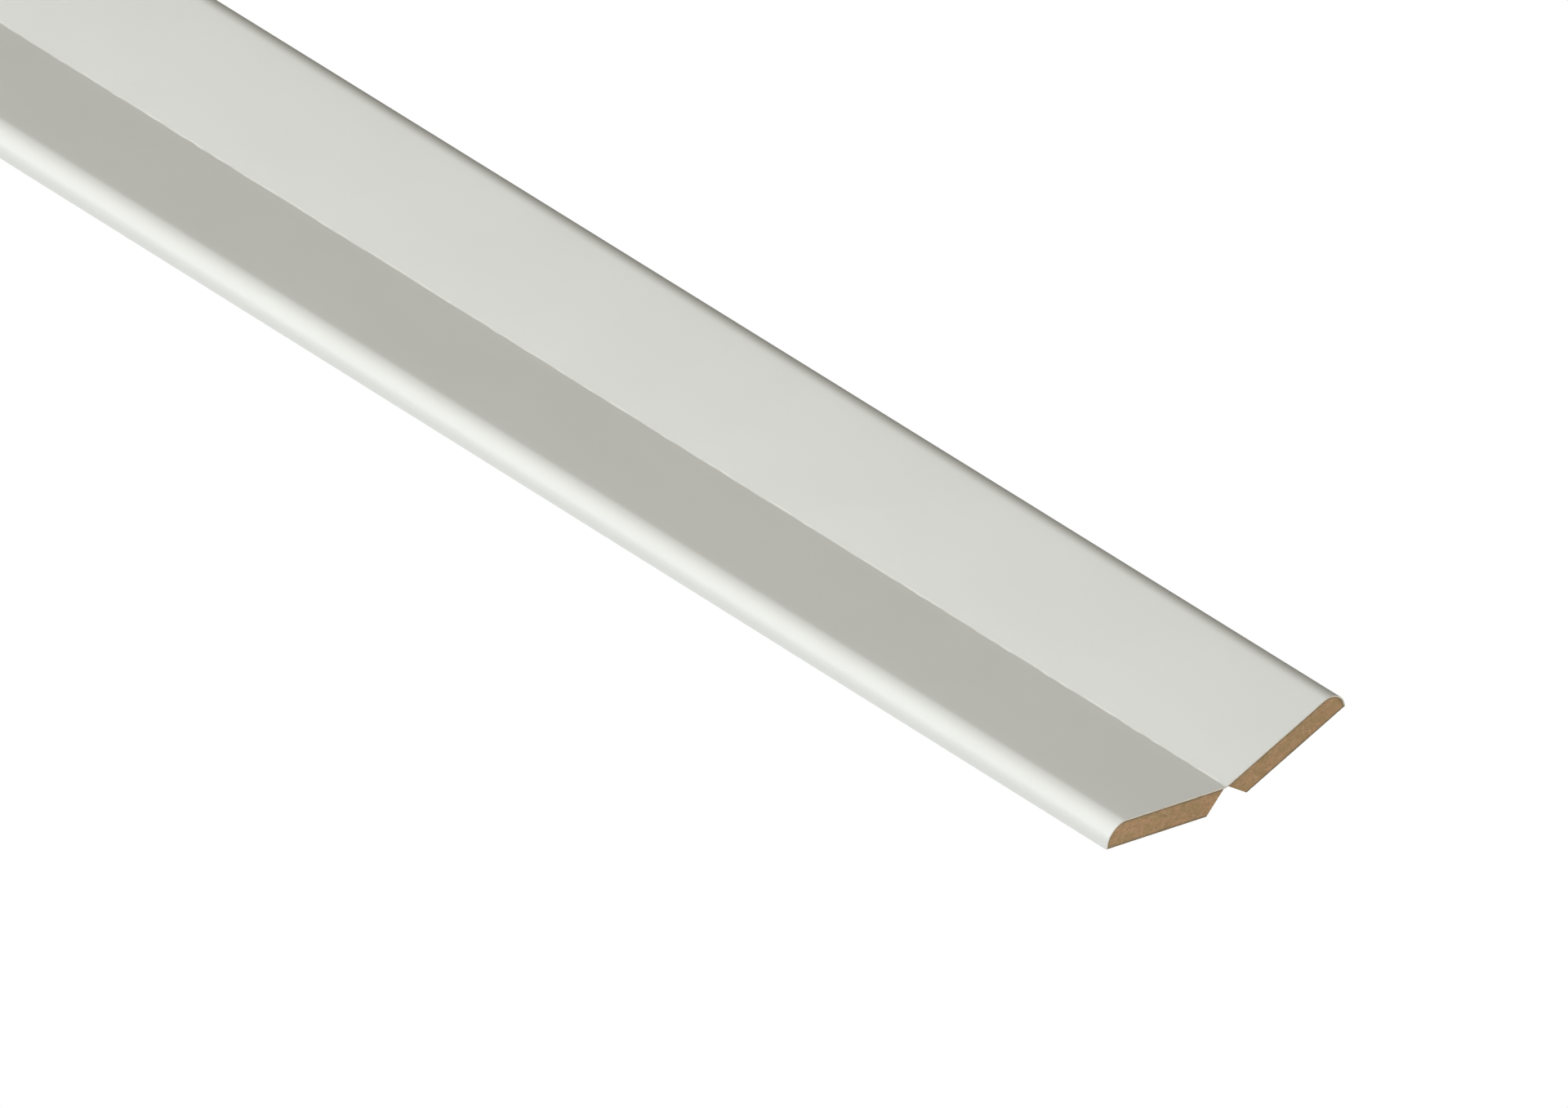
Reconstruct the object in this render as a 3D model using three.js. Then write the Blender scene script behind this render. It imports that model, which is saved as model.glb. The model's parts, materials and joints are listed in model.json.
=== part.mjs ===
// A folding corner moulding: two boards with rounded outer edges under one decor foil, which
// also carries them across the V-groove between them and is their hinge.
// Millimetres and degrees, X across the moulding, Y along it, Z up. It lies foil side up on the
// inner edges of its two backs, and the origin is on the floor under the middle of the fold.
import * as THREE from 'three';

// Driving dimensions
const length = 360; // cut square at both ends
const flatWidth = 60; // laid flat, foil included
const boardThickness = 5;
const sideHeight = 1.25; // upright strip left below the rounded outer edge
const foilThickness = 0.3;
const hingeWidth = 1; // strip of foil that has no board behind it
const flankAngle = 55; // between a flank of the groove and the board's face
const foldAngle = 27.9; // from flat, towards the foil side

// Steps that the round stretches are drawn with
const hingeSteps = 4;
const roundSteps = 12;

const quarterTurn = Math.PI / 2;
const halfFold = THREE.MathUtils.degToRad(foldAngle / 2);
const edgeRadius = boardThickness - sideHeight;
const faceWidth = flatWidth / 2 - hingeWidth / 2 - edgeRadius - foilThickness;
const flankReach = boardThickness / Math.tan(THREE.MathUtils.degToRad(flankAngle));

const foilMaterial = new THREE.MeshStandardMaterial({
  name: 'white satin foil', color: 0xe9e8e3, roughness: 0.42, metalness: 0,
});
const boardMaterial = new THREE.MeshStandardMaterial({
  name: 'fibreboard', color: 0xa38866, roughness: 0.9, metalness: 0,
});

// The line on which foil and board meet, from the middle of the fold to the right outer edge:
// the bent hinge, the flat face, the quarter round and the upright side. Each point keeps the
// heading of the line there.
function rightHalfLine() {
  const line = [{ at: new THREE.Vector2(), heading: 0 }];
  function addStretch(run, turn, steps) {
    for (let i = 0; i < steps; i++) {
      const last = line[line.length - 1];
      const chord = setOff({ at: last.at, heading: last.heading + turn / steps / 2 }, run / steps, 0);
      line.push({ at: chord, heading: last.heading + turn / steps });
    }
  }
  addStretch(hingeWidth / 2, halfFold, hingeSteps);
  addStretch(faceWidth, 0, 1);
  const roundChord = 2 * edgeRadius * Math.sin(quarterTurn / roundSteps / 2);
  addStretch(roundChord * roundSteps, -quarterTurn, roundSteps);
  addStretch(sideHeight, 0, 1);
  return line;
}

// A point set off from a point of the line: along its heading, and outwards on the foil's side
function setOff({ at, heading }, along, outwards) {
  const offset = new THREE.Vector2(along, outwards).rotateAround(new THREE.Vector2(), heading);
  return offset.add(at);
}

// The same line on the left of the fold, still read from left to right
function leftHalfLine(right) {
  const left = right.map(({ at, heading }) => ({
    at: new THREE.Vector2(-at.x, at.y), heading: -heading,
  }));
  return left.reverse();
}

// The foil follows the whole line, and its outer surface is that line set off by its thickness
function foilSection(left, right) {
  const line = [...left, ...right.slice(1)];
  const inner = line.map(({ at }) => at);
  const outer = line.map((point) => setOff(point, 0, foilThickness));
  return [...inner, ...outer.reverse()];
}

// A board fills one side from where the hinge ends, and its back starts at the foot of the flank
function boardSection(right) {
  const innerEdge = right[hingeSteps];
  const front = right.slice(hingeSteps).map(({ at }) => at);
  return [...front, setOff(innerEdge, flankReach, -boardThickness)];
}

// A section drawn in X and height, carried along Y with its middle at the origin
function carriedAlong(section, name, material) {
  const geometry = new THREE.ExtrudeGeometry(new THREE.Shape(section), {
    depth: length, bevelEnabled: false,
  });
  const mesh = new THREE.Mesh(geometry, material);
  mesh.name = name;
  mesh.rotation.x = quarterTurn;
  mesh.position.y = length / 2;
  return mesh;
}

const right = rightHalfLine();
const left = leftHalfLine(right);
const rightSection = boardSection(right);
const leftSection = rightSection.map(({ x, y }) => new THREE.Vector2(-x, y));

const moulding = new THREE.Group();
moulding.add(carriedAlong(leftSection, 'left_board', boardMaterial));
moulding.add(carriedAlong(rightSection, 'right_board', boardMaterial));
moulding.add(carriedAlong(foilSection(left, right), 'foil', foilMaterial));
moulding.position.z = -Math.min(...rightSection.map(({ y }) => y));

export default moulding;
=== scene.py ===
# A folding corner moulding: two fibreboard strips under one white foil that hinges them.
# Everything is in metres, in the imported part's own frame.
import json
import math

import bpy
import numpy as np
from mathutils import Matrix, Vector


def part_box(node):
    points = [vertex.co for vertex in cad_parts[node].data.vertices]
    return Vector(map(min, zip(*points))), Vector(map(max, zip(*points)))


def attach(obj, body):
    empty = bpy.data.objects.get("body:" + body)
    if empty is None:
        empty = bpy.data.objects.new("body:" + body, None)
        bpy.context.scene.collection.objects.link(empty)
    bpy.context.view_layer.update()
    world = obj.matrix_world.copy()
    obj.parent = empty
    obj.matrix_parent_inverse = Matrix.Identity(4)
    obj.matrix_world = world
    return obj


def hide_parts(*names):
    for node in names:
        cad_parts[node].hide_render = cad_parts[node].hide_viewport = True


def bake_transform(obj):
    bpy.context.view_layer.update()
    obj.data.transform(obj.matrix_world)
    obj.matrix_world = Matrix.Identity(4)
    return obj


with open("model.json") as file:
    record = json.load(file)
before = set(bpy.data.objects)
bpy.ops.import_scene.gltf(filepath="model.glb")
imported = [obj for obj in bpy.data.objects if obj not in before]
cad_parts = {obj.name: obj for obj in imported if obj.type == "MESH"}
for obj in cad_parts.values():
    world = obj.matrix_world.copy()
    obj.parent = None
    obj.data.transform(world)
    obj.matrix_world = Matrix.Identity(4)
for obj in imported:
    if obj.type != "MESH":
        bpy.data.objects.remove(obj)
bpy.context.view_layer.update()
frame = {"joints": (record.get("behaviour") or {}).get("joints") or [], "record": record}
millimetre = 0.001
sharpAngle = math.radians(35)


# Section
# The frame gives every size: the tilt from a mount, the hinge from the joint, the rest from boxes.
boardLow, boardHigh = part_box("right_board")
foilLow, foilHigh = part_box("foil")
backMount = next(m for m in frame["record"]["mounts"] if m["name"] == "right_back")
hingeHeight = frame["joints"][0]["pos_m"][2]  # the foil's outer surface in the middle of the fold

halfFold = math.atan2(backMount["axis"][0], -backMount["axis"][2])
along = np.array([math.cos(halfFold), math.sin(halfFold)])  # outwards on the right leaf's face
outwards = np.array([-along[1], along[0]])  # off that face, to the foil's side
foilThickness = hingeHeight - foilLow[2]
hingeWidth = 2 * boardLow[0] * halfFold / math.sin(halfFold)
innerEdge = np.array([boardLow[0], foilLow[2] + hingeWidth / 2 * math.tan(halfFold / 2)])
backPoint = np.array([backMount["pos_m"][0], backMount["pos_m"][2]])
boardThickness = float((innerEdge - backPoint) @ outwards)
boardReach = (boardHigh[0] - innerEdge[0] - boardThickness * along[1]) / along[0]
crownHeight = foilHigh[2] - innerEdge[1] - boardReach * along[1] - foilThickness
edgeRadius = crownHeight / (1 - along[0] - along[1])
flankReach = (boardLow[2] - innerEdge[1] + boardThickness * along[0]) / along[1]
halfLength = foilHigh[1]

# The milled round turns fastest at its two ends and is a little flatter in its middle than a true
# quarter: turn = 90 degrees * (t + flatness * sin(2 pi t) / (2 pi)), t being its share of the way
roundFlatness = 0.3


def roundTurn(t):
    return math.pi / 2 * (t + roundFlatness * np.sin(2 * math.pi * t) / (2 * math.pi))


# The round reaches edgeRadius along the leaf, and that is its length times its mean cosine, here
# of the middles of a thousand equal steps. It reaches as far down, because the turn is symmetrical
roundLength = edgeRadius / np.cos(roundTurn((np.arange(1000) + 0.5) / 1000)).mean()

faceStart = hingeWidth / 2  # distances along the line where foil and board meet, from the fold
roundStart = faceStart + boardReach - edgeRadius
sideStart = roundStart + roundLength
lineEnd = sideStart + boardThickness - edgeRadius
print("section: board %.2f mm, foil %.2f mm, folded by %.1f degrees" % (
    boardThickness / millimetre, foilThickness / millimetre, math.degrees(2 * halfFold)))


# The line's heading: over half the hinge it rises to the leaf's tilt, most of it close to the fold,
# as tilt * (1 - (1 - share) ^ 3), and over the round it falls by a right angle
def lineHeading(s):
    rise = halfFold * (1 - (1 - np.clip(s / faceStart, 0, 1)) ** 3)
    return rise - roundTurn(np.clip((s - roundStart) / roundLength, 0, 1))


# Points (x, z) at the distances s, which start at 0: each step goes along its chord, at the mean
# of the headings at its two ends, and a chord is its arc times sin(a) / a, a being half its turn.
# The line is then moved so that it passes the board's inner edge, and starts in the middle
def meetingLine(s):
    heading = lineHeading(s)
    mean = (heading[1:] + heading[:-1]) / 2
    chord = np.diff(s) * np.sinc(np.diff(heading) / 2 / math.pi)
    steps = np.stack([chord * np.cos(mean), chord * np.sin(mean)], 1)
    line = np.concatenate([[[0, 0]], np.cumsum(steps, 0)])
    atEdge = np.array([np.interp(faceStart, s, line[:, 0]), np.interp(faceStart, s, line[:, 1])])
    shift = innerEdge - atEdge
    line[:, 0] += shift[0] * np.clip(s / faceStart, 0, 1)
    line[:, 1] += shift[1]
    return line, heading


# Distances from 0 to the line's end, with so many steps to each stretch
def stations(hingeSteps, faceSteps, roundSteps, sideSteps):
    stretches = [
        np.linspace(0, faceStart, hingeSteps, endpoint=False),
        np.linspace(faceStart, roundStart, faceSteps, endpoint=False),
        np.linspace(roundStart, sideStart, roundSteps, endpoint=False),
        np.linspace(sideStart, lineEnd, sideSteps + 1),
    ]
    return np.concatenate(stretches)


# Smooth noise from -1 to 1: random values on a square lattice, eased from one to the next
latticeSize = 256


def latticeNoise(x, y, cell, seed):
    table = np.random.default_rng(seed).uniform(-1, 1, (latticeSize, latticeSize))
    column, row = np.floor(x / cell), np.floor(y / cell)
    fx, fy = x / cell - column, y / cell - row
    fx, fy = fx * fx * (3 - 2 * fx), fy * fy * (3 - 2 * fy)
    i, j = column.astype(int) % latticeSize, row.astype(int) % latticeSize
    nextI, nextJ = (i + 1) % latticeSize, (j + 1) % latticeSize
    low = table[i, j] * (1 - fx) + table[nextI, j] * fx
    high = table[i, nextJ] * (1 - fx) + table[nextI, nextJ] * fx
    return low * (1 - fy) + high * fy


# A closed mesh from points and quads. grain holds the pattern's own coordinates, and skin the
# depth below a pressed surface, both kept in millimetres
def makePiece(name, points, quads, materials, slots, grain, skin=None):
    mesh = bpy.data.meshes.new(name)
    mesh.from_pydata(points.tolist(), [], quads.tolist())
    mesh.polygons.foreach_set("material_index", slots.astype(np.int32))
    mesh.attributes.new("grain", "FLOAT_VECTOR", "POINT").data.foreach_set(
        "vector", (grain / millimetre).astype(np.float32).ravel())
    if skin is not None:
        mesh.attributes.new("skin", "FLOAT", "POINT").data.foreach_set(
            "value", (skin / millimetre).astype(np.float32))
    for material in materials:
        mesh.materials.append(material)
    mesh.shade_smooth()
    mesh.set_sharp_from_angle(angle=sharpAngle)
    piece = bpy.data.objects.new(name, mesh)
    bpy.context.scene.collection.objects.link(piece)
    print("made %s: %d faces" % (name, len(quads)))
    return piece


# Materials
def addNode(tree, kind, values=None, **settings):
    node = tree.nodes.new(kind)
    for key, value in settings.items():
        setattr(node, key, value)
    for key, value in (values or {}).items():
        if isinstance(value, bpy.types.NodeSocket):
            tree.links.new(value, node.inputs[key])
        else:
            node.inputs[key].default_value = value
    return node


def newGroup(name, inputs, outputs):
    group = bpy.data.node_groups.new(name, "ShaderNodeTree")
    for direction, sockets in (("INPUT", inputs), ("OUTPUT", outputs)):
        for socketName, kind in sockets.items():
            group.interface.new_socket(socketName, in_out=direction, socket_type="NodeSocket" + kind)
    return group, group.nodes.new("NodeGroupInput"), group.nodes.new("NodeGroupOutput")


def newMaterial(name):
    material = bpy.data.materials.new(name)
    material.use_nodes = True
    tree = material.node_tree
    return material, tree, tree.nodes["Principled BSDF"]


def ownCoordinates(tree):
    return addNode(tree, "ShaderNodeAttribute", attribute_name="grain").outputs["Vector"]


# Noise whose features have the given size along each axis: the vector is divided by it
def noise(tree, vector, size, detail, roughness=0.55, swirl=0.0):
    scale = tuple(1 / length for length in size)
    stretched = addNode(tree, "ShaderNodeVectorMath", {0: vector, 1: scale}, operation="MULTIPLY")
    node = addNode(tree, "ShaderNodeTexNoise", {
        "Vector": stretched.outputs[0], "Scale": 1.0, "Detail": detail, "Roughness": roughness,
        "Distortion": swirl})
    return node.outputs["Fac"]


# A smooth step from one value to another, while the input goes from low to high
def ramp(tree, value, low, high, toLow=0.0, toHigh=1.0):
    node = addNode(tree, "ShaderNodeMapRange", {
        "Value": value, "From Min": low, "From Max": high, "To Min": toLow, "To Max": toHigh},
        interpolation_type="SMOOTHSTEP")
    return node.outputs["Result"]


def mixColour(tree, share, a, b):
    node = addNode(tree, "ShaderNodeMix", {"Factor": share, 6: a, 7: b}, data_type="RGBA")
    return node.outputs[2]


def calculate(tree, operation, a, b=0.0):
    return addNode(tree, "ShaderNodeMath", {0: a, 1: b}, operation=operation).outputs[0]


# Fibreboard: blotches of pressed fibre, short fibres that lie in the board's plane and swirl a
# little, sparse dark strokes and pale flecks, and a denser skin next to its two surfaces. Sizes
# are in millimetres. Each range gives two values of the noise, and what it stands for at each
fibreLook = dict(
    warm=(0.418, 0.262, 0.146, 1), olive=(0.342, 0.234, 0.118, 1), pale=(0.52, 0.38, 0.245, 1),
    dark=(0.160, 0.085, 0.040, 1), rim=(0.190, 0.150, 0.095, 1), specular=0.25,
    blotch=(3.2, 3.2, 1.7), blotchRange=(0.32, 0.68, 0.0, 1.0),
    fibre=(1.1, 1.1, 0.6), fibreRange=(0.28, 0.72, 0.86, 1.14),
    stroke=(0.8, 0.8, 0.4), strokeRange=(0.60, 0.72, 0.0, 0.7),
    fleck=(0.9, 0.9, 0.5), fleckRange=(0.60, 0.74, 0.0, 0.7),
    fraying=0.5, rimRange=(0.30, 0.90, 0.95, 0.0),
)


def makeFibreGroup(look):
    tree, given, result = newGroup(
        "fibreboardPattern",
        {"Grain": "Vector", "Skin": "Float", "Flecks": "Float"},
        {"Colour": "Color", "Relief": "Float"})
    grain = given.outputs["Grain"]

    def moved(distance):
        # the same coordinates elsewhere in the noise, so that no two patterns coincide
        offset = (distance, distance, distance)
        return addNode(tree, "ShaderNodeVectorMath", {0: grain, 1: offset}, operation="ADD").outputs[0]

    blotches = noise(tree, grain, look["blotch"], detail=2.0, roughness=0.5, swirl=0.6)
    colour = mixColour(tree, ramp(tree, blotches, *look["blotchRange"]), look["warm"], look["olive"])
    fibres = noise(tree, moved(5.1), look["fibre"], detail=4.0, roughness=0.62, swirl=1.2)
    brightness = ramp(tree, fibres, *look["fibreRange"])
    scaled = addNode(tree, "ShaderNodeVectorMath", {0: colour, 3: brightness}, operation="SCALE")
    strokes = noise(tree, moved(47.9), look["stroke"], detail=2.0, roughness=0.5, swirl=1.6)
    share = calculate(tree, "MULTIPLY", ramp(tree, strokes, *look["strokeRange"]), given.outputs["Flecks"])
    colour = mixColour(tree, share, scaled.outputs[0], look["dark"])
    flecks = noise(tree, moved(11.3), look["fleck"], detail=2.0, roughness=0.5, swirl=0.8)
    share = calculate(tree, "MULTIPLY", ramp(tree, flecks, *look["fleckRange"]), given.outputs["Flecks"])
    colour = mixColour(tree, share, colour, look["pale"])
    # the skin's inner edge is frayed: its depth, plus the fibre noise times the fraying
    fraying = calculate(tree, "MULTIPLY", fibres, look["fraying"])
    frayed = calculate(tree, "ADD", given.outputs["Skin"], fraying)
    colour = mixColour(tree, ramp(tree, frayed, *look["rimRange"]), colour, look["rim"])
    tree.links.new(colour, result.inputs["Colour"])
    tree.links.new(fibres, result.inputs["Relief"])
    return tree


fibreGroup = makeFibreGroup(fibreLook)
sawnLook = dict(hasSkin=True, flecks=1.0, bumpDepth=0.00003, roughness=0.9)
milledLook = dict(hasSkin=False, flecks=0.5, bumpDepth=0.00002, roughness=0.85)


def makeFibreboard(name, look):
    material, tree, shader = newMaterial(name)
    pattern = addNode(tree, "ShaderNodeGroup", node_tree=fibreGroup)
    tree.links.new(ownCoordinates(tree), pattern.inputs["Grain"])
    pattern.inputs["Skin"].default_value = 1.0
    if look["hasSkin"]:
        skin = addNode(tree, "ShaderNodeAttribute", attribute_name="skin").outputs["Fac"]
        tree.links.new(skin, pattern.inputs["Skin"])
    pattern.inputs["Flecks"].default_value = look["flecks"]
    bump = addNode(tree, "ShaderNodeBump", {
        "Height": pattern.outputs["Relief"], "Distance": look["bumpDepth"], "Strength": 1.0})
    tree.links.new(pattern.outputs["Colour"], shader.inputs["Base Color"])
    tree.links.new(bump.outputs["Normal"], shader.inputs["Normal"])
    shader.inputs["Roughness"].default_value = look["roughness"]
    shader.inputs["Specular IOR Level"].default_value = fibreLook["specular"]
    return material


sawnBoard = makeFibreboard("sawnFibreboard", sawnLook)
milledBoard = makeFibreboard("milledFibreboard", milledLook)


# White satin foil, with a faint cloudiness, fine pores and a painted highlight along the crease. The
# distances of the crease are in millimetres from the fold, to the right
foilLook = dict(
    white=(0.80, 0.80, 0.778, 1), cloudy=(0.788, 0.788, 0.763, 1), roughness=0.34,
    cloud=(22, 30, 22), cloudRange=(0.35, 0.65), pore=(0.22, 0.22, 0.22), poreDepth=0.0000012,
    # the crease's colour is a painted highlight along the fold
    creaseHighlight=(0.91, 0.91, 0.87, 1), creaseMiddle=0.2, creaseCore=0.104, creaseHalf=0.26,
    creasePatch=(0.8, 4.5, 0.8), patchRange=(0.45, 0.60, 0.1, 1.0),
)


def makeFoilMaterial(look):
    material, tree, shader = newMaterial("whiteSatinFoil")
    grain = ownCoordinates(tree)
    clouds = ramp(tree, noise(tree, grain, look["cloud"], detail=2.0), *look["cloudRange"])
    colour = mixColour(tree, clouds, look["white"], look["cloudy"])
    # the crease is painted paler in patches: a painted highlight along the fold
    across = addNode(tree, "ShaderNodeSeparateXYZ", {0: grain}).outputs["X"]
    offset = calculate(tree, "ABSOLUTE", calculate(tree, "SUBTRACT", across, look["creaseMiddle"]))
    highlightBand = ramp(tree, offset, look["creaseCore"], look["creaseHalf"], 1.0, 0.0)
    highlightPatches = ramp(tree, noise(tree, grain, look["creasePatch"], detail=3.0), *look["patchRange"])
    colour = mixColour(tree, calculate(tree, "MULTIPLY", highlightBand, highlightPatches), colour, look["creaseHighlight"])
    pores = noise(tree, grain, look["pore"], detail=1.0)
    bump = addNode(tree, "ShaderNodeBump", {
        "Height": pores, "Distance": look["poreDepth"], "Strength": 1.0})
    tree.links.new(colour, shader.inputs["Base Color"])
    tree.links.new(bump.outputs["Normal"], shader.inputs["Normal"])
    shader.inputs["Roughness"].default_value = look["roughness"]
    return material


# The foil's cut edge, smeared with fibre dust
foilCut = dict(core=(0.66, 0.62, 0.54, 1), dusty=(0.48, 0.41, 0.32, 1), roughness=0.6,
               smear=(1.4, 1.4, 0.3), smearRange=(0.45, 0.75))


def makeCutMaterial(look):
    material, tree, shader = newMaterial("foilCutEdge")
    smears = noise(tree, ownCoordinates(tree), look["smear"], detail=3.0)
    colour = mixColour(tree, ramp(tree, smears, *look["smearRange"]), look["core"], look["dusty"])
    tree.links.new(colour, shader.inputs["Base Color"])
    shader.inputs["Roughness"].default_value = look["roughness"]
    return material


whiteFoil = makeFoilMaterial(foilLook)
cutEdge = makeCutMaterial(foilCut)
print("materials made")


# Foil
foilMake = dict(hingeSteps=12, faceSteps=14, roundSteps=18, sideSteps=2, rows=360,
                waveCell=0.009, waveDepth=0.000004,
                creaseCell=0.0026, creaseDepth=0.00001, creaseSway=0.00018)


# The foil's section follows the meeting line on both sides of the fold, mirrored in x, and its
# outer surface stands off by the thickness: outer = inner + thickness * (-sin(heading), cos(heading)).
# It is carried along y, and waves a little where it was pressed on and creased. The crease also
# sways sideways, by exp(-(2 s / faceStart) ^ 2) at the distance s from the fold
def makeFoil(make):
    half = stations(make["hingeSteps"], make["faceSteps"], make["roundSteps"], make["sideSteps"])
    rightLine, heading = meetingLine(half)
    line = np.concatenate([rightLine[:0:-1] * (-1, 1), rightLine])
    turn = np.concatenate([-heading[:0:-1], heading])
    s = np.concatenate([-half[:0:-1], half])
    y = np.linspace(-halfLength, halfLength, make["rows"] + 1)
    normal = np.stack([-np.sin(turn), np.cos(turn)], 1)

    wave = make["waveDepth"] * latticeNoise(s[None], y[:, None], make["waveCell"], 3)
    nearFold = np.exp(-(s[None] / faceStart) ** 2)
    crease = make["creaseDepth"] * latticeNoise(s[None] * 0, y[:, None], make["creaseCell"], 5)
    thickness = foilThickness - make["waveDepth"] - make["creaseDepth"]
    stand = (thickness + wave + nearFold * crease)[..., None]
    inner = np.repeat(line[None], len(y), 0)
    sway = make["creaseSway"] * latticeNoise(y * 0, y, make["creaseCell"], 7)
    inner[..., 0] += sway[:, None] * np.exp(-(2 * s[None] / faceStart) ** 2)
    outer = inner + stand * normal[None]
    ring = np.concatenate([inner, outer[:, ::-1]], 1)
    count = ring.shape[1]
    ringY = np.broadcast_to(y[:, None], ring.shape[:2])
    points = np.stack([ring[..., 0], ringY, ring[..., 1]], -1).reshape(-1, 3)

    around = np.broadcast_to(np.concatenate([s, s[::-1]]), ringY.shape)
    depth = np.concatenate([np.full(len(s), foilThickness), np.zeros(len(s))])
    grain = np.stack([around, ringY, np.broadcast_to(depth, ringY.shape)], -1).reshape(-1, 3)

    row = np.arange(make["rows"])[:, None] * count
    a, b = np.arange(count), (np.arange(count) + 1) % count
    walls = np.stack([row + a, row + count + a, row + count + b, row + b], -1)
    wallSlots = np.ones((make["rows"], count))
    wallSlots[:, len(s):-1] = 0
    k = np.arange(len(s) - 1)
    nearEnd = np.stack([k, k + 1, count - 2 - k, count - 1 - k], -1)
    farEnd = nearEnd[:, ::-1] + make["rows"] * count
    quads = np.concatenate([walls.reshape(-1, 4), nearEnd, farEnd])
    slots = np.concatenate([wallSlots.ravel(), np.ones(2 * len(k))])
    return makePiece("foil_wrap", points, quads, [whiteFoil, cutEdge], slots, grain)


foilWrap = makeFoil(foilMake)
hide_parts("foil")
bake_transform(foilWrap)


# Boards
boardMake = dict(faceSteps=110, crowding=1.3, roundSteps=24, levels=26, rows=60, endSteps=8,
                 endBand=0.0015, recess=0.00003, sawDepth=0.00003, sawCell=0.0004, sawStretch=3,
                 finerCell=2.3, finerShare=0.5, fray=0.00006, frayCell=0.0007, frayPitch=0.00002,
                 arrisWidth=0.0003)


# A board's section is a grid between its front line and its back:
# point = (1 - v) * front + v * back. The front's points crowd towards the fold, by share ^ crowding
def boardSection(make):
    hinge = np.linspace(0, faceStart, foilMake["hingeSteps"], endpoint=False)
    share = np.linspace(0, 1, make["faceSteps"] + 1) ** make["crowding"]
    face = faceStart + (roundStart - faceStart) * share
    bend = np.linspace(roundStart, sideStart, make["roundSteps"] + 1)[1:]
    front = meetingLine(np.concatenate([hinge, face, bend]))[0][len(hinge):]
    frontShare = ((front - innerEdge) @ along) / boardReach
    backAlong = flankReach + (boardReach - flankReach) * frontShare
    back = innerEdge + np.outer(backAlong, along) - boardThickness * outwards
    v = (1 - np.cos(np.linspace(0, math.pi, make["levels"] + 1))) / 2
    return (1 - v)[:, None, None] * front[None] + v[:, None, None] * back[None]


# How deep a point lies below the nearest of the face, the round, the side and the back
def skinDepth(reach, depth):
    pastRound = np.maximum(reach - boardReach + edgeRadius, 0)
    corner = edgeRadius - np.hypot(pastRound, np.maximum(edgeRadius - depth, 0))
    outer = np.where(depth < edgeRadius, corner, boardReach - reach)
    return np.minimum(outer, np.minimum(depth, boardThickness - depth))


# Each end carries the section's whole grid, recessed and rough from the saw, and between the ends
# only its rim is carried along y. The arris between the groove and the back is frayed, by
# noise * exp(-distance / arrisWidth)
def makeBoard(name, side, body, make, seed):
    grid = boardSection(make)
    reach = (grid - innerEdge) @ along
    depth = -(grid - innerEdge) @ outwards
    skin = skinDepth(reach, depth)

    index = np.arange(grid[..., 0].size).reshape(grid.shape[:2])
    rim = np.concatenate([index[0], index[1:, -1], index[-1, -2::-1], index[-2:0:-1, 0]])
    count = len(rim)
    band = np.linspace(0, make["endBand"], make["endSteps"] + 1)[1:] - halfLength
    middle = np.linspace(-halfLength, halfLength, make["rows"] + 1)[1:-1]
    y = np.concatenate([band, middle, -band[::-1]])

    def endHeight(shift):
        x, z = reach, depth * make["sawStretch"]
        rough = latticeNoise(x, z, make["sawCell"], seed + shift)
        finer = latticeNoise(x, z, make["sawCell"] / make["finerCell"], seed + shift + 1)
        rough = (rough + make["finerShare"] * finer) / (1 + make["finerShare"])
        return halfLength - make["recess"] - make["sawDepth"] * (1 + rough)

    nearY, farY = -endHeight(0), endHeight(10)
    rimPoints = grid.reshape(-1, 2)[rim]
    isBack = np.zeros(count, bool)
    isBack[grid.shape[1] + make["levels"]:] = True
    centre = innerEdge + along * boardReach / 2 - outwards * boardThickness / 2
    inwards = (centre - rimPoints) / np.linalg.norm(centre - rimPoints, axis=1)[:, None]
    arris = np.exp(-np.linalg.norm(rimPoints - grid[-1, 0], axis=1) / make["arrisWidth"])
    rimPlace = np.arange(count)[None] * make["frayPitch"]
    frayed = np.clip(latticeNoise(rimPlace, y[:, None], make["frayCell"], seed + 20), 0, 1)
    drop = (make["fray"] * frayed * arris[None] * isBack[None])[..., None]
    rows = rimPoints[None] + drop * inwards[None]
    rowY = np.broadcast_to(y[:, None], rows.shape[:2])

    def placed(xz, yValues):
        return np.stack([side * xz[..., 0], yValues, xz[..., 1]], -1).reshape(-1, 3)

    def spread(values):
        return np.broadcast_to(values.ravel()[rim], rowY.shape)

    points = np.concatenate([placed(grid, nearY), placed(rows, rowY), placed(grid, farY)])
    nearGrain = np.stack([reach, nearY, depth], -1).reshape(-1, 3)
    rowGrain = np.stack([spread(reach), rowY, spread(depth)], -1).reshape(-1, 3)
    farGrain = np.stack([reach, farY, depth], -1).reshape(-1, 3)
    ownShift = (seed * 0.05, 0, 0)  # so that the two boards show different parts of the pattern
    grain = np.concatenate([nearGrain, rowGrain, farGrain]) + ownShift
    skin = np.concatenate([skin.ravel(), spread(skin).ravel(), skin.ravel()])

    cells = np.stack([index[:-1, :-1], index[1:, :-1], index[1:, 1:], index[:-1, 1:]], -1).reshape(-1, 4)
    rings = index.size + np.arange(len(y))[:, None] * count + np.arange(count)[None]
    farStart = index.size + len(y) * count
    rings = np.concatenate([rim[None], rings, farStart + rim[None]])
    turned = np.roll(rings, -1, 1)
    walls = np.stack([rings[:-1], turned[:-1], turned[1:], rings[1:]], -1).reshape(-1, 4)
    quads = np.concatenate([cells, walls, farStart + cells[:, ::-1]])
    slots = np.concatenate([np.zeros(len(cells)), np.ones(len(walls)), np.zeros(len(cells))])
    if side < 0:
        quads = quads[:, ::-1]
    piece = makePiece(name, points, quads, [sawnBoard, milledBoard], slots, grain, skin)
    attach(piece, body)
    return piece


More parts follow.
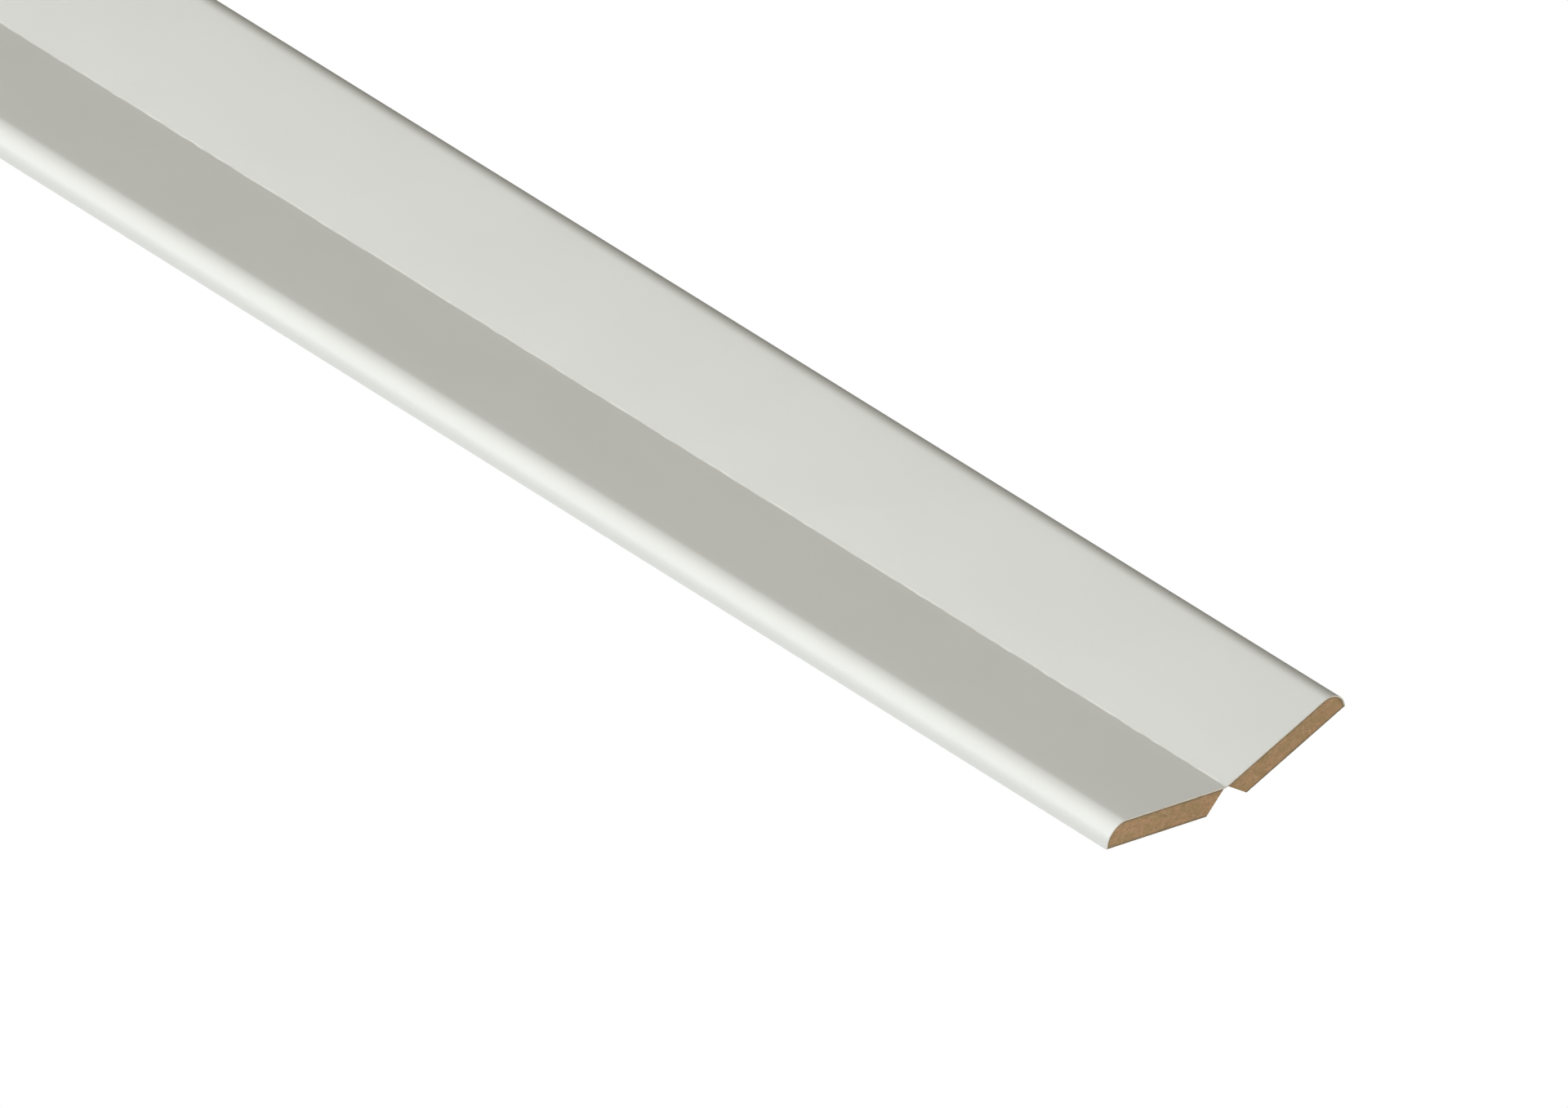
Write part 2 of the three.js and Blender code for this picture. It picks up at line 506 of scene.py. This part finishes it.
leftBoard = makeBoard("left_fibreboard", -1, "left_leaf", boardMake, 100)
rightBoard = makeBoard("right_fibreboard", 1, "right_leaf", boardMake, 200)
for piece, node in ((leftBoard, "left_board"), (rightBoard, "right_board")):
    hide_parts(node)


# Camera
# azimuth and elevation of the viewing direction, roll of the picture, and how far the picture's
# middle lies from the origin, to the right and up in the camera's plane
shot = dict(azimuth=-42.3201, elevation=37.4352, roll=1.7805, lens=1100, sensor=36, distance=8.8743,
            middleRight=0.0426234, middleUp=-0.0311879, nearest=0.1, farthest=100)


def makeCamera(shot):
    azimuth, elevation, roll = (math.radians(shot[key]) for key in ("azimuth", "elevation", "roll"))
    back = Vector((math.sin(azimuth) * math.cos(elevation), -math.cos(azimuth) * math.cos(elevation),
                   math.sin(elevation)))
    level = Vector((math.cos(azimuth), math.sin(azimuth), 0))
    upright = back.cross(level)
    right = math.cos(roll) * level - math.sin(roll) * upright
    up = math.sin(roll) * level + math.cos(roll) * upright
    place = shot["middleRight"] * right + shot["middleUp"] * up + shot["distance"] * back
    data = bpy.data.cameras.new("camera")
    data.lens, data.sensor_width = shot["lens"], shot["sensor"]
    data.clip_start, data.clip_end = shot["nearest"], shot["farthest"]
    camera = bpy.data.objects.new("camera", data)
    camera.matrix_world = Matrix.Translation(place) @ Matrix((right, up, back)).transposed().to_4x4()
    bpy.context.scene.collection.objects.link(camera)
    bpy.context.scene.camera = camera


makeCamera(shot)


# Studio
# toLamp points from the origin to a lamp, which faces the origin. Its width is at right angles to
# y and to toLamp, so the keys' length runs along y. The warm and the cool key lie side by side
lamps = [
    dict(name="warmKey", toLamp=(-0.4335, 0, 0.9011), distance=0.4638, width=0.225, length=1.6,
         power=2.09, colour=(1.0, 0.98, 0.86)),
    dict(name="coolKey", toLamp=(-0.8065, 0, 0.5912), distance=0.4638, width=0.225, length=1.6,
         power=2.3826, colour=(0.864, 0.921, 1.0)),
    dict(name="fill", toLamp=(0, -1, 0.1), distance=3.0, width=1.5, length=1.5,
         power=45.0, colour=(1.0, 0.97, 0.93)),
    dict(name="back", toLamp=(-0.5, 1, 0.3), distance=3.0, width=1.5, length=1.5,
         power=18.0, colour=(1.0, 0.98, 0.95)),
]
studio = dict(ambient=(1.0, 0.94, 0.78, 1), ambientStrength=0.04,
              floorGrey=(0.42, 0.41, 0.39, 1), floorSize=4.0)


def makeLamp(lamp):
    toLamp = Vector(lamp["toLamp"]).normalized()
    across = Vector((0, 1, 0)).cross(toLamp).normalized()
    lengthwise = toLamp.cross(across)
    data = bpy.data.lights.new(lamp["name"], "AREA")
    data.shape, data.size, data.size_y = "RECTANGLE", lamp["width"], lamp["length"]
    data.energy, data.color = lamp["power"], lamp["colour"]
    light = bpy.data.objects.new(lamp["name"], data)
    turn = Matrix((across, lengthwise, toLamp)).transposed().to_4x4()
    light.matrix_world = Matrix.Translation(toLamp * lamp["distance"]) @ turn
    bpy.context.scene.collection.objects.link(light)


for lamp in lamps:
    makeLamp(lamp)


# To the part this is a pale matt floor. The camera and the lamps look through it to the white
# world, so that the leaf that swings below it when the moulding folds back is seen, and lit
def makeFloor(studio):
    half = studio["floorSize"] / 2
    corners = [(-half, -half, 0), (half, -half, 0), (half, half, 0), (-half, half, 0)]
    mesh = bpy.data.meshes.new("floor")
    mesh.from_pydata(corners, [], [(0, 1, 2, 3)])
    floor = bpy.data.objects.new("floor", mesh)
    bpy.context.scene.collection.objects.link(floor)
    material = bpy.data.materials.new("paleFloor")
    material.use_nodes = True
    tree = material.node_tree
    tree.nodes.clear()
    matt = addNode(tree, "ShaderNodeBsdfDiffuse", {"Color": studio["floorGrey"]})
    clear = addNode(tree, "ShaderNodeBsdfTransparent")
    path = addNode(tree, "ShaderNodeLightPath")
    passed = calculate(tree, "MAXIMUM", path.outputs["Is Camera Ray"], path.outputs["Is Shadow Ray"])
    mixed = addNode(tree, "ShaderNodeMixShader", {0: passed, 1: matt.outputs[0], 2: clear.outputs[0]})
    output = addNode(tree, "ShaderNodeOutputMaterial")
    tree.links.new(mixed.outputs[0], output.inputs["Surface"])
    mesh.materials.append(material)


# White to the camera, and a faint warm light to everything else
def makeWorld(studio):
    world = bpy.data.worlds.new("studio")
    bpy.context.scene.world = world
    world.use_nodes = True
    tree = world.node_tree
    tree.nodes.clear()
    ambient = addNode(tree, "ShaderNodeBackground", {
        "Color": studio["ambient"], "Strength": studio["ambientStrength"]})
    white = addNode(tree, "ShaderNodeBackground", {"Color": (1, 1, 1, 1), "Strength": 1.0})
    seen = addNode(tree, "ShaderNodeLightPath").outputs["Is Camera Ray"]
    mixed = addNode(tree, "ShaderNodeMixShader", {0: seen, 1: ambient.outputs[0], 2: white.outputs[0]})
    output = addNode(tree, "ShaderNodeOutputWorld")
    tree.links.new(mixed.outputs[0], output.inputs["Surface"])


makeFloor(studio)
makeWorld(studio)
bpy.context.scene.view_settings.view_transform = "Standard"
print("camera, lights and floor set")
